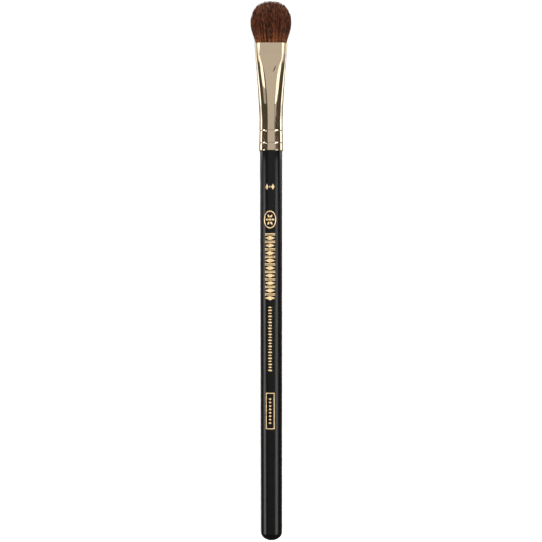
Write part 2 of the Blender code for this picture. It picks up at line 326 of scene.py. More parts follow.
@dataclass(frozen=True)
class PaleGoldPlating:
    """Pale gold on nickel, plated on drawn and polished brass.

    It gives the eye a mirror with faint lines from the drawing, smears from handling, a short dark mark
    on the upper flat and, beside each crimp, a band that the roller has left uneven.
    """

    colour: str = "F1DEC0"
    smear_colour: str = "EBD8BA"
    # Painted shade: a grey tint that darkens the metal's reflection at grazing angles, so its rims show as a
    # grey outline
    painted_rim_shade_tint: str = "A8A49A"
    roughness: Point2 = (0.05, 0.11)
    smear_size: float = 4 * MM
    smear_range: Point2 = (0.35, 0.7)
    line_size: Point2 = (0.15 * MM, 14 * MM)
    line_height: float = 0.0004 * MM
    pit_size: float = 0.35 * MM
    pit_height: float = 0.004 * MM
    rolled_half_width: float = 1.1 * MM
    # A short dark diagonal mark on the upper flat
    dark_mark_colour: str = "3C3227"
    dark_mark_middle: Point3 = (1.05 * MM, 63.6 * MM, 5.7 * MM)
    dark_mark_half_size: Point3 = (0.23 * MM, 1.5 * MM, 1.2 * MM)
    dark_mark_turn: float = math.radians(-26.6)
    dark_mark_fade: Point2 = (0.5, 1.0)

    def find_dark_mark(self, tree: bpy.types.NodeTree, place: bpy.types.NodeSocket) -> bpy.types.Node:
        """Adds the nodes that find the dark mark.

        Args:
            tree: The plating's tree.
            place: The place on the ferrule.

        Returns:
            A node that gives one on the dark mark and nothing off it.
        """
        turn = (0, 0, self.dark_mark_turn)
        lie = {"Location": self.dark_mark_middle, "Rotation": turn, "Scale": self.dark_mark_half_size}
        from_dark_mark = add_node(tree, "Mapping", {"Vector": place, **lie}, vector_type="TEXTURE")
        off_dark_mark = add_node(tree, "VectorMath", {0: from_dark_mark}, operation="LENGTH").outputs["Value"]
        return add_node(tree, "MapRange", {"Value": off_dark_mark, **limits("From", self.dark_mark_fade), **FALLING})

    def material(self, crimps: Sequence[float]) -> bpy.types.Material:
        """Builds the plating's nodes.

        Args:
            crimps: Where the crimps lie, along Y.

        Returns:
            The material.
        """
        # The grey edge tint paints shade into the reflection at the rims
        surface = {"Metallic": 1.0, "Specular Tint": linear(self.painted_rim_shade_tint)}
        made, shader, place = principled("pale_gold_plated_brass", surface)
        tree = made.node_tree
        smear = add_node(tree, "TexNoise", {"Vector": place, "Scale": 1 / self.smear_size, "Detail": 3.0})
        ranges = {**limits("From", self.smear_range), **limits("To", self.roughness)}
        gloss = add_node(tree, "MapRange", {"Value": smear, **ranges})
        tint = linear(self.colour)
        dark_mark = self.find_dark_mark(tree, place)
        for factor, hex_code in ((smear, self.smear_colour), (dark_mark, self.dark_mark_colour)):
            colours = {MIX_A: tint, MIX_B: linear(hex_code)}
            tint = add_node(tree, "Mix", {"Factor": factor, **colours}, data_type="RGBA").outputs[MIX_RESULT]
        stretched = add_node(tree, "Mapping", {"Vector": place, "Scale": drawn_out(self.line_size)})
        lines = add_node(tree, "TexNoise", {"Vector": stretched, "Scale": 1.0, "Detail": 3.0})
        relief = add_node(tree, "Bump", {"Height": lines, "Strength": 1.0, "Distance": self.line_height})
        pits = add_node(tree, "TexNoise", {"Vector": place, "Scale": 1 / self.pit_size, "Detail": 1.0})
        along = add_node(tree, "SeparateXYZ", {"Vector": place}).outputs["Y"]
        rolled_reach = limits("From", (0.0, self.rolled_half_width))
        for crimp in crimps:
            off = add_node(tree, "Math", {0: along, 1: crimp}, operation="SUBTRACT")
            distance = add_node(tree, "Math", {0: off}, operation="ABSOLUTE")
            rolled = add_node(tree, "MapRange", {"Value": distance, **rolled_reach, **FALLING})
            height = add_node(tree, "Math", {0: rolled, 1: pits}, operation="MULTIPLY")
            pitted = {"Height": height, "Strength": 1.0, "Distance": self.pit_height, "Normal": relief}
            relief = add_node(tree, "Bump", pitted)
        feed(shader, {"Base Color": tint, "Roughness": gloss, "Normal": relief})
        return made


@dataclass(frozen=True)
class GoldFoil:
    """Hot-stamped gold foil: a film of gold-coloured aluminium, pressed on the lacquer.

    It gives the eye a bright yellow gold that breaks up in brown patches where the stamp took less well.
    """

    colour: str = "FFE2AE"
    thin_colour: str = "B5762F"
    metallic: float = 0.5
    roughness: Point2 = (0.3, 0.5)
    patch_size: float = 0.35 * MM
    patch_range: Point2 = (0.5, 0.72)
    grain_size: float = 0.08 * MM
    grain_height: float = 0.003 * MM

    def material(self) -> bpy.types.Material:
        """Builds the foil's nodes.

        Returns:
            The material.
        """
        made, shader, place = principled("hot_stamped_gold_foil", {"Metallic": self.metallic})
        tree = made.node_tree
        patches = add_node(tree, "TexNoise", {"Vector": place, "Scale": 1 / self.patch_size, "Detail": 2.0})
        thin = add_node(tree, "MapRange", {"Value": patches, **limits("From", self.patch_range)})
        gloss = add_node(tree, "MapRange", {"Value": thin, **limits("To", self.roughness)})
        colours = {MIX_A: linear(self.colour), MIX_B: linear(self.thin_colour)}
        tint = add_node(tree, "Mix", {"Factor": thin, **colours}, data_type="RGBA").outputs[MIX_RESULT]
        grain = add_node(tree, "TexNoise", {"Vector": place, "Scale": 1 / self.grain_size, "Detail": 1.0})
        relief = add_node(tree, "Bump", {"Height": grain, "Strength": 1.0, "Distance": self.grain_height})
        feed(shader, {"Base Color": tint, "Roughness": gloss, "Normal": relief})
        return made


@dataclass(frozen=True)
class BrownHair:
    """Dyed natural hair, undamaged at the tip and dressed with a little oil.

    It gives the eye dark brown locks, with redder, brighter hair near the ferrule, painted for the light
    that it catches where it tilts outwards, and paler tips, painted for the light that shines through them.
    Its painted glint streaks, lighter and darker in the colour, stand in for highlights and shade among the
    hairs and are drawn a few hairs wide, because one hair alone is too fine to show. A place along the hair
    is zero at the ferrule's mouth and one at the tip.
    """

    ior: float = 1.55
    dark: str = "100704"
    light: str = "63321A"
    # Painted light: a redder, brighter colour near the ferrule, for the light the hair catches where it tilts
    # outwards
    root: str = "955732"
    # Painted light: paler tips, for the light that shines through the thin hair there
    tip: str = "7C503B"
    roughness: float = 0.5
    specular_level: float = 0.2
    # Painted glints: streaks a few hairs wide, painted into the colour as highlights and shade
    painted_glint_size: Point2 = (0.26 * MM, 1.5 * MM)
    painted_glint_range: Point2 = (0.36, 0.64)
    painted_glint_shade: Point2 = (0.3, 0.85)
    painted_glint_along: Point2 = (0.4, 0.9)
    root_along: Point2 = (0.0, 0.45)
    tip_along: Point2 = (0.85, 1.0)
    shade_attribute: str = "hair_shade"
    along_attribute: str = "hair_along"

    def material(self) -> bpy.types.Material:
        """Builds the hair's nodes.

        Returns:
            The material.
        """
        surface = {"Roughness": self.roughness, "IOR": self.ior, "Specular IOR Level": self.specular_level}
        made, shader, place = principled("dressed_brown_hair", surface)
        tree = made.node_tree
        along, steady = (
            add_node(tree, "Attribute", attribute_name=name).outputs["Fac"]
            for name in (self.along_attribute, self.shade_attribute)
        )
        # Painted glints: noise along the hair lightens and darkens the colour, a painted highlight and shade
        # that grows towards the tips
        stretched = add_node(tree, "Mapping", {"Vector": place, "Scale": drawn_out(self.painted_glint_size)})
        painted_glint_streaks = add_node(tree, "TexNoise", {"Vector": stretched, "Scale": 1.0, "Detail": 1.0})
        either_way = {**limits("From", self.painted_glint_range), **limits("To", (-1.0, 1.0))}
        spread = add_node(tree, "MapRange", {"Value": painted_glint_streaks, **either_way})
        growing = {**limits("From", self.painted_glint_along), **limits("To", self.painted_glint_shade)}
        strength = add_node(tree, "MapRange", {"Value": along, **growing})
        terms = {0: spread, 1: strength, 2: steady}
        shade = add_node(tree, "Math", terms, operation="MULTIPLY_ADD", use_clamp=True)
        # Painted light: near the root the colour turns redder and brighter, for the light caught where the
        # hair tilts outwards
        painted_root_light = add_node(tree, "MapRange", {"Value": along, **limits("From", self.root_along), **FALLING})
        # Painted light: towards the tip the colour turns paler, for light shining through the thin tips
        painted_backlit_tip = add_node(tree, "MapRange", {"Value": along, **limits("From", self.tip_along)})
        tint = linear(self.light)
        for factor, hex_code in ((painted_root_light, self.root), (painted_backlit_tip, self.tip)):
            colours = {MIX_A: tint, MIX_B: linear(hex_code)}
            tint = add_node(tree, "Mix", {"Factor": factor, **colours}, data_type="RGBA").outputs[MIX_RESULT]
        colours = {MIX_A: linear(self.dark), MIX_B: tint}
        tint = add_node(tree, "Mix", {"Factor": shade, **colours}, data_type="RGBA").outputs[MIX_RESULT]
        feed(shader, {"Base Color": tint})
        return made


@dataclass(frozen=True)
class MottledFinish:
    """A finish of two shades that melt into each other, for what is cast, poured or spun inside the brush.

    Attributes:
        name: The material's name.
        colours: Its two shades.
        roughness: How rough it is.
        mottle_size: How far apart the shades lie.
        bump_height: How uneven the surface is.
    """

    name: str
    colours: tuple[str, str]
    roughness: float
    mottle_size: float
    bump_height: float

    def material(self) -> bpy.types.Material:
        """Builds the finish's nodes.

        Returns:
            The material.
        """
        made, shader, place = principled(self.name, {"Roughness": self.roughness})
        tree = made.node_tree
        mottle = add_node(tree, "TexNoise", {"Vector": place, "Scale": 1 / self.mottle_size, "Detail": 2.0})
        first, second = (linear(colour) for colour in self.colours)
        colours = {MIX_A: first, MIX_B: second}
        tint = add_node(tree, "Mix", {"Factor": mottle, **colours}, data_type="RGBA").outputs[MIX_RESULT]
        relief = add_node(tree, "Bump", {"Height": mottle, "Strength": 0.5, "Distance": self.bump_height})
        feed(shader, {"Base Color": tint, "Normal": relief})
        return made


@dataclass
class Ferrule:
    """The plated tube: round and crimped on the handle, and pressed to a wide flat mouth.

    A depth is measured from the mouth down into the ferrule.
    """

    axis: BrushAxis
    pressed_length: float = 24.6 * MM
    rear_radius: float = 3.715 * MM
    waist_radius: float = 3.6 * MM
    wall: float = 0.25 * MM
    mouth_half_width: float = 5.2 * MM
    flat_edges: tuple[Point2, ...] = (
        (0.0, 3.42 * MM),
        (4.5 * MM, 3.4 * MM),
        (5.7 * MM, 3.2 * MM),
        (7.0 * MM, 2.6 * MM),
        (8.8 * MM, 2.1 * MM),
        (11.3 * MM, 1.65 * MM),
        (14.6 * MM, 1.3 * MM),
        (19.5 * MM, 0.8 * MM),
        (24.6 * MM, 0.0),
    )
    side_heights: tuple[Point2, ...] = (
        (0.0, 2.456 * MM),
        (4.5 * MM, 2.456 * MM),
        (8.8 * MM, 2.68 * MM),
        (11.3 * MM, 2.93 * MM),
        (14.6 * MM, 3.23 * MM),
        (19.5 * MM, 3.55 * MM),
        (24.6 * MM, 3.6 * MM),
    )
    press_blend: float = 0.6 * MM
    crease_blend: float = 0.05 * MM
    crease_guard: float = 0.35 * MM
    guard_share: float = 0.14
    most_guard_share: float = 0.6
    lip_round: float = 0.09 * MM
    rear_round: float = 0.09 * MM
    crimp_inset: float = 2.3 * MM
    crimp_pitch: float = 3.9 * MM
    crimp_count: int = 2
    crimp_half_width: float = 0.28 * MM
    crimp_depth: float = 0.045 * MM
    flare_power: float = 1.3
    turn_steps: int = 176
    ring_count: int = 96
    crimp_rings: int = 5
    guard_rings: int = 3
    edge_steps: int = 4

    @property
    def length(self) -> float:
        """From the mouth to the rear edge."""
        return self.axis.mouth - self.axis.rear

    def section(self, depth: float) -> Point2:
        """Gives the ferrule's outer size at a depth.

        Args:
            depth: The depth.

        Returns:
            Its half width and half thickness there.
        """
        if depth >= self.pressed_length:
            share = (depth - self.pressed_length) / (self.length - self.pressed_length)
            radius = self.waist_radius + (self.rear_radius - self.waist_radius) * share
            return radius, radius
        spread = (1 - max(depth, 0.0) / self.pressed_length) ** self.flare_power
        half_width = self.waist_radius + (self.mouth_half_width - self.waist_radius) * spread
        side_height = read_curve(self.side_heights, depth, self.press_blend)
        flat = read_curve(self.flat_edges, depth, self.press_blend)
        return half_width, side_height * math.sqrt(1 - (flat / half_width) ** 2)

    def crimp_places(self) -> list[float]:
        """The crimps' middles, along Y."""
        first = self.axis.rear + self.crimp_inset
        return [first + self.crimp_pitch * number for number in range(self.crimp_count)]

    def crimp_dent(self, depth: float) -> float:
        """Shapes the crimps as rounded grooves.

        Args:
            depth: A depth.

        Returns:
            How far a crimp presses in there.
        """
        nearest = min(abs(self.axis.mouth - depth - place) for place in self.crimp_places())
        share = min(nearest / self.crimp_half_width, 1)
        return self.crimp_depth * (1 + math.cos(math.pi * share)) / 2

    def depths(self) -> list[float]:
        """Spaces the rings of vertices, close together at the crimps.

        Returns:
            Their depths, from the mouth's rounding to the rear edge's.
        """
        low, high = self.lip_round, self.length - self.rear_round
        found = {low + (high - low) * number / self.ring_count for number in range(self.ring_count + 1)}
        found |= {low + self.lip_round, self.pressed_length, high - self.rear_round}
        reach = self.crimp_rings + self.guard_rings
        step = self.crimp_half_width / self.crimp_rings
        for place in self.crimp_places():
            middle = self.axis.mouth - place
            found = {depth for depth in found if abs(depth - middle) > step * (reach + 0.5)}
            found |= {middle + step * number for number in range(-reach, reach + 1)}
        return sorted(found)

    def outer_profile(self) -> list[Point2]:
        """Draws the outside before it is pressed.

        Returns:
            (radius, height) points, down from the mouth.
        """
        points = []
        for turn in quarter_turn(self.edge_steps)[:-1]:
            radius = self.waist_radius - self.lip_round * (1 - math.sin(turn))
            points.append((radius, -self.lip_round * (1 - math.cos(turn))))
        for depth in self.depths():
            radius = self.waist_radius if depth < self.pressed_length else self.section(depth)[0]
            points.append((radius - self.crimp_dent(depth), -depth))
        for turn in quarter_turn(self.edge_steps)[1:]:
            radius = self.rear_radius - self.rear_round * (1 - math.cos(turn))
            points.append((radius, -self.length + self.rear_round * (1 - math.sin(turn))))
        return points

    def inner_profile(self) -> list[Point2]:
        """Draws the inside before it is pressed.

        Returns:
            (radius, height) points, up from the rear edge.
        """
        points = [(self.rear_radius - self.wall, -self.length)]
        for depth in reversed(self.depths()[:-1]):
            radius = self.waist_radius if depth < self.pressed_length else self.section(depth)[0]
            points.append((radius - self.wall - self.crimp_dent(depth), -depth))
        points.append((self.waist_radius - self.wall, 0.0))
        return points

    def press(self, shape: bmesh.types.BMesh) -> None:
        """Presses a turned shape between two flats.

        They cut off its oval section and leave a crease at each side. The vertices nearest the middle plane
        are set along the crease, inside the flat, and keep its shading sharp. The rest go round the oval.

        Args:
            shape: The turned shape, upright, with its mouth at zero.
        """
        for vertex in shape.verts:
            depth = -vertex.co.z
            if depth >= self.pressed_length:
                continue
            radius = math.hypot(vertex.co.x, vertex.co.y)
            inset = self.waist_radius - radius
            half_width, half_thickness = (side - inset for side in self.section(depth))
            side_height = read_curve(self.side_heights, depth, self.press_blend) - inset
            first_turn = math.acos(min(half_thickness / side_height, 1.0))
            flat = half_width * math.sin(first_turn)
            guards = self.guard_share * smooth_step(0.0, 2 * self.crease_guard, flat)
            share = math.asin(min(abs(vertex.co.x) / radius, 1.0)) / (math.pi / 2)
            if share < guards:
                guard = min(self.crease_guard, self.most_guard_share * flat)
                across = flat - guard * (1 - share / guards)
            else:
                turn = first_turn + (math.pi / 2 - first_turn) * (share - guards) / (1 - guards)
                across = half_width * math.sin(turn)
            side = side_height * math.sqrt(max(1 - (across / half_width) ** 2, 0.0))
            overlap = max(self.crease_blend - abs(side - half_thickness), 0.0)
            height = min(side, half_thickness) - overlap**2 / (4 * self.crease_blend)
            vertex.co.x = math.copysign(across, vertex.co.x)
            vertex.co.y = math.copysign(height if side > MERGE_DISTANCE else 0.0, vertex.co.y)

    def build(self, plating: PaleGoldPlating) -> None:
        """Makes the ferrule.

        Args:
            plating: Its finish.
        """
        shape = turned(self.outer_profile() + self.inner_profile(), self.turn_steps, closed=True)
        # Half a step round, so that no line of vertices lies on the middle of a pressed flat
        half_step = Matrix.Rotation(math.pi / self.turn_steps, 3, "Z")
        bmesh.ops.rotate(shape, verts=shape.verts[:], cent=(0, 0, 0), matrix=half_step)
        self.press(shape)
        self.axis.lay_down(shape)
        material = plating.material(self.crimp_places())
        add_piece("pressed_ferrule", shape, material, ["ferrule"])


@dataclass
class Handle:
    """The turned handle: a domed butt, a slight taper, a shoulder under the ferrule and a tenon inside it."""

    axis: BrushAxis
    ferrule: Ferrule
    shoulder_radius: float = 3.485 * MM
    butt_radius: float = 3.325 * MM
    butt_round: float = 2.6 * MM
    shoulder_round: float = 0.12 * MM
    shoulder_gap: float = 0.1 * MM
    tenon_radius: float = 2.85 * MM
    tenon_length: float = 9.1 * MM
    tenon_chamfer: float = 0.3 * MM
    turn_steps: int = 128
    butt_steps: int = 18
    length_rings: int = 40
    edge_steps: int = 4

    @property
    def shoulder(self) -> float:
        """The shoulder's height in the upright frame."""
        return -self.ferrule.length - self.shoulder_gap

    @property
    def butt(self) -> float:
        """The butt's height in the upright frame."""
        return self.axis.butt - self.axis.mouth

    def radius_at(self, height: float) -> float:
        """The handle's radius at a height, between its butt's rounding and its shoulder."""
        share = (self.shoulder - height) / (self.shoulder - self.butt)
        return self.shoulder_radius + (self.butt_radius - self.shoulder_radius) * share

    def profile(self) -> list[Point2]:
        """Draws the handle's outline, as it is turned.

        Returns:
            (radius, height) points, from the middle of the tenon's end to the butt's middle.
        """
        end = -self.ferrule.length + self.tenon_length
        points = [(0.0, end), (self.tenon_radius - self.tenon_chamfer, end)]
        points += [(self.tenon_radius, end - self.tenon_chamfer), (self.tenon_radius, self.shoulder)]
        for turn in quarter_turn(self.edge_steps):
            radius = self.shoulder_radius - self.shoulder_round * (1 - math.sin(turn))
            points.append((radius, self.shoulder - self.shoulder_round * (1 - math.cos(turn))))
        low, high = self.butt + self.butt_round, self.shoulder - self.shoulder_round
        for number in range(1, self.length_rings):
            height = high + (low - high) * number / self.length_rings
            points.append((self.radius_at(height), height))
        for turn in quarter_turn(self.butt_steps)[:-1]:
            radius = self.radius_at(low) * math.cos(turn)
            points.append((radius, self.butt + self.butt_round * (1 - math.sin(turn))))
        points.append((0.0, self.butt))
        return points

    def build(self, lacquer: BlackLacquer) -> None:
        """Makes the handle.

        Args:
            lacquer: Its finish.
        """
        shape = turned(self.profile(), self.turn_steps, closed=False)
        self.axis.lay_down(shape)
        add_piece("turned_handle", shape, lacquer.material(), ["handle"])


class Motif(Enum):
    """The outline of one stamped mark."""

    BAR = "bar"
    LOZENGE = "lozenge"
    BEAD = "bead"

    def half_height(self, across: float) -> float:
        """Shapes the outline.

        Args:
            across: A place across it, from -1 to 1.

        Returns:
            How tall it stands there, as a share of its most.
        """
        if self is Motif.LOZENGE:
            return 1 - abs(across)
        if self is Motif.BEAD:
            return math.sqrt(max(1 - across * across, 0.0))
        return 1.0


@dataclass(frozen=True)
class Mark:
    """One stamped mark.

    Attributes:
        motif: Its outline.
        place: Its middle: how far round the handle from its top, and along Y.
        size: How wide it is round the handle, and how long along Y.
        turn: How far it is turned, in radians.
    """

    motif: Motif
    place: Point2
    size: Point2
    turn: float = 0.0


@dataclass
class FoilPrint:
    """The gold foil ornament on the handle: a pair of lozenges, a rosette, a chain, dots and a panel.

    A share is of the piece of the ornament that it is named for. The chain's give each mark's middle and
    length.
    """

    handle: Handle
    off_middle: float = -0.4 * MM
    thickness: float = 0.02 * MM
    bite: float = 0.01 * MM
    line_width: float = 0.24 * MM
    patch_columns: int = 12
    patch_rows: int = 2
    ring_steps: int = 48
    pair_place: float = 26.5 * MM
    pair_spread: float = 0.95 * MM
    pair_size: Point2 = (1.0 * MM, 1.9 * MM)
    pair_bead: Point2 = (0.5 * MM, 0.5 * MM)
    rosette_place: float = 16.2 * MM
    rosette_radius: float = 2.0 * MM
    rosette_stretch: float = 1.4
    rosette_clear_lines: float = 2.2
    rosette_bead: Point2 = (0.7 * MM, 0.7 * MM)
    petals: int = 6
    petal_place_share: float = 0.62
    petal_length_share: float = 0.7
    petal_width: float = 0.55 * MM
    chain_span: Point2 = (-9.2 * MM, 12.0 * MM)
    chain_width: float = 3.3 * MM
    chain_repeats: int = 9
    chain_shares: tuple[tuple[Motif, float, float], ...] = (
        (Motif.LOZENGE, 0.32, 0.56),
        (Motif.BAR, 0.72, 0.1),
        (Motif.BAR, 0.9, 0.1),
    )
    dots_span: Point2 = (-31.6 * MM, -10.9 * MM)
    dot_count: int = 22
    dot_size: Point2 = (1.3 * MM, 0.5 * MM)
    panel_span: Point2 = (-49.6 * MM, -38.2 * MM)
    panel_width: float = 2.8 * MM
    panel_inset: float = 1.4 * MM
    panel_dots: int = 8
    panel_dot_width: float = 0.9 * MM
    panel_dot_share: float = 0.62

    def pair(self) -> list[Mark]:
        """Makes two small lozenges side by side with a bead between them.

        Returns:
            The marks.
        """
        place, spread = self.pair_place, self.pair_spread
        marks = [Mark(Motif.LOZENGE, (across, place), self.pair_size) for across in (-spread, spread)]
        return [*marks, Mark(Motif.BEAD, (0.0, place), self.pair_bead)]

    def rosette(self) -> list[Mark]:
        """Makes petals round a bead, inside the rosette's ring.

        Returns:
            The marks.
        """
        reach = self.rosette_radius - self.rosette_clear_lines * self.line_width
        middle_reach = reach * self.petal_place_share
        size = (reach * self.petal_length_share, self.petal_width)
        marks = [Mark(Motif.BEAD, (0.0, self.rosette_place), self.rosette_bead)]
        for number in range(self.petals):
            turn = math.tau * number / self.petals
            along = self.rosette_place + math.sin(turn) * middle_reach * self.rosette_stretch
            marks.append(Mark(Motif.BEAD, (math.cos(turn) * middle_reach, along), size, turn))
        return marks

    def chain(self) -> list[Mark]:
        """Makes lozenges with a pair of reels between each two, as on turned wood.

        Returns:
            The marks.
        """
        low, high = self.chain_span
        pitch = (high - low) / self.chain_repeats
        marks = []
        for number in range(self.chain_repeats):
            start = low + pitch * number
            for motif, place, length in self.chain_shares:
                size = (self.chain_width, pitch * length)
                marks.append(Mark(motif, (0.0, start + pitch * place), size))
        return marks

    def dots(self) -> list[Mark]:
        """Makes a row along the handle, of beads and lozenges by turns.

        Returns:
            The marks.
        """
        low, high = self.dots_span
        pitch = (high - low) / self.dot_count
        marks = []
        for number in range(self.dot_count):
            motif = Motif.LOZENGE if number % 2 else Motif.BEAD
            marks.append(Mark(motif, (0.0, low + pitch * (number + 0.5)), self.dot_size))
        return marks

    def panel(self) -> list[Mark]:
        """Makes a border of four bars with a short row of lozenges inside.

        Returns:
            The marks.
        """
        low, high = self.panel_span
        half_line = self.line_width / 2
        side = self.panel_width / 2 - half_line
        upright = (self.line_width, high - low)
        level = (self.panel_width, self.line_width)
        marks = [Mark(Motif.BAR, (across, (low + high) / 2), upright) for across in (-side, side)]
        marks += [Mark(Motif.BAR, (0.0, along), level) for along in (low + half_line, high - half_line)]
        pitch = (high - low - 2 * self.panel_inset) / self.panel_dots
        size = (self.panel_dot_width, pitch * self.panel_dot_share)
        for number in range(self.panel_dots):
            place = low + self.panel_inset + pitch * (number + 0.5)
            marks.append(Mark(Motif.LOZENGE, (0.0, place), size))
        return marks

    def stamp(self, sheet: bmesh.types.BMesh, mark: Mark) -> None:
        """Cuts one mark flat in the sheet, with X round the handle and Y along it.

        Args:
            sheet: The sheet.
            mark: The mark.
        """
        columns, rows = self.patch_columns, self.patch_rows
        patch = bmesh.ops.create_grid(sheet, x_segments=columns, y_segments=rows, size=1)["verts"]
        for vertex in patch:
            vertex.co.y *= mark.motif.half_height(vertex.co.x)
        width, length = mark.size
        placed = Matrix.Translation((*mark.place, 0)) @ Matrix.Rotation(mark.turn, 4, "Z")
        matrix = placed @ Matrix.Diagonal((width / 2, length / 2, 1, 1))
        bmesh.ops.transform(sheet, matrix=matrix, verts=patch)

    def ring(self, sheet: bmesh.types.BMesh) -> None:
        """Cuts the rosette's ring flat in the sheet, as the first of its marks.

        Args:
            sheet: The sheet, still empty.
        """
        radii = (self.rosette_radius, self.rosette_radius - self.line_width)
        ends = [sheet.verts.new((radius, 0, 0)) for radius in radii]
        bmesh.ops.spin(sheet, geom=[*ends, sheet.edges.new(ends)], **FULL_TURN, steps=self.ring_steps)
        stretch = Matrix.Diagonal((1, self.rosette_stretch, 1, 1))
        matrix = Matrix.Translation((0, self.rosette_place, 0)) @ stretch
        bmesh.ops.transform(sheet, matrix=matrix, verts=sheet.verts[:])

    def wrap(self, sheet: bmesh.types.BMesh) -> None:
        """Rolls the flat sheet on the handle, its underside a little in the lacquer.

        Args:
            sheet: The sheet.
        """
        axis = self.handle.axis
        for vertex in sheet.verts:
            round_way, along, lift = vertex.co
            radius = self.handle.radius_at(along - axis.mouth) + lift - self.bite
            angle = (round_way + self.off_middle) / radius
            vertex.co = (radius * math.sin(angle), along, axis.height + radius * math.cos(angle))

    def build(self, foil: GoldFoil) -> None:
        """Makes the whole print as one film.

        Args:
            foil: Its finish.
        """
        sheet = bmesh.new()
        self.ring(sheet)
        for mark in [*self.pair(), *self.rosette(), *self.chain(), *self.dots(), *self.panel()]:
            self.stamp(sheet, mark)
        bmesh.ops.dissolve_degenerate(sheet, edges=sheet.edges[:], dist=MERGE_DISTANCE)
        made = bmesh.ops.extrude_face_region(sheet, geom=sheet.faces[:])["geom"]
        lifted = picked(made, bmesh.types.BMVert)
        bmesh.ops.translate(sheet, verts=lifted, vec=(0, 0, self.thickness + self.bite))
        bmesh.ops.recalc_face_normals(sheet, faces=sheet.faces[:])
        self.wrap(sheet)
        add_piece("foil_ornament", sheet, foil.material())


@dataclass(frozen=True)
class Lock:
    """Hairs that hold together towards their tips.

    Attributes:
        middle: Where it stands on the unit disc.
        hold: How closely its hairs gather at the tip, from 0 to 1.
        lean: How far its tip leans, on the unit disc.
        shade: How light its hair is, from -1 to 1.
        cut: How far its tips stay below the dome.
    """

    middle: Point2
    hold: float
    lean: Point2
    shade: float
    cut: float


@dataclass(frozen=True)
class LockStyle:
    """How the locks of one size are made.

    Attributes:
        count: How many stand on the disc.
        hold: The least and the most of their hold.
        lean: The spread of their lean.
        cut: The most that their tips are cut by.
        rim_calm: How much less a lock at the disc's rim holds and leans than one in the middle.
        rim_span: The disc radii where a lock starts to calm, and where it is calm.
    """

    count: int
    hold: Point2
    lean: float
    cut: float
    rim_calm: float
    rim_span: Point2 = (0.75, 0.95)

    def locks(self, seed: int) -> list[Lock]:
        """Makes the locks, evenly spread over the disc.

        Args:
            seed: What their draws start from.

        Returns:
            The locks, from the disc's middle to its rim.
        """
        chance = random.Random(seed)
        golden = math.pi * (3 - math.sqrt(5))
        made = []
        for number in range(self.count):
            radius = math.sqrt((number + 0.5) / self.count)
            angle = number * golden + chance.uniform(-0.5, 0.5) / math.sqrt(self.count)
            calm = 1 - self.rim_calm * smooth_step(*self.rim_span, radius)
            made.append(
                Lock(
                    middle=(radius * math.cos(angle), radius * math.sin(angle)),
                    hold=chance.uniform(*self.hold) * calm,
                    lean=(chance.gauss(0, self.lean) * calm, chance.gauss(0, self.lean) * calm),
                    shade=chance.uniform(-1, 1),
                    cut=chance.uniform(0, self.cut),
                )
            )
        return made


def planted(locks: Sequence[Lock]) -> kdtree.KDTree:
    """Puts the locks in a tree that finds the one nearest a hair.

    Args:
        locks: The locks.

    Returns:
        The tree, which gives a lock's place in the list.
    """
    tree = kdtree.KDTree(len(locks))
    for number, lock in enumerate(locks):
        tree.insert((*lock.middle, 0), number)
    tree.balance()
    return tree


class HairLayer(Enum):
    """A layer of the tuft: its share of the disc's radius, and where its hairs bend."""

    CORE = (0.0, 0.74, (0.3, 0.6, 0.86, 1.0))
    COAT = (0.74, 1.01, (0.1, 0.26, 0.45, 0.66, 0.86, 1.0))


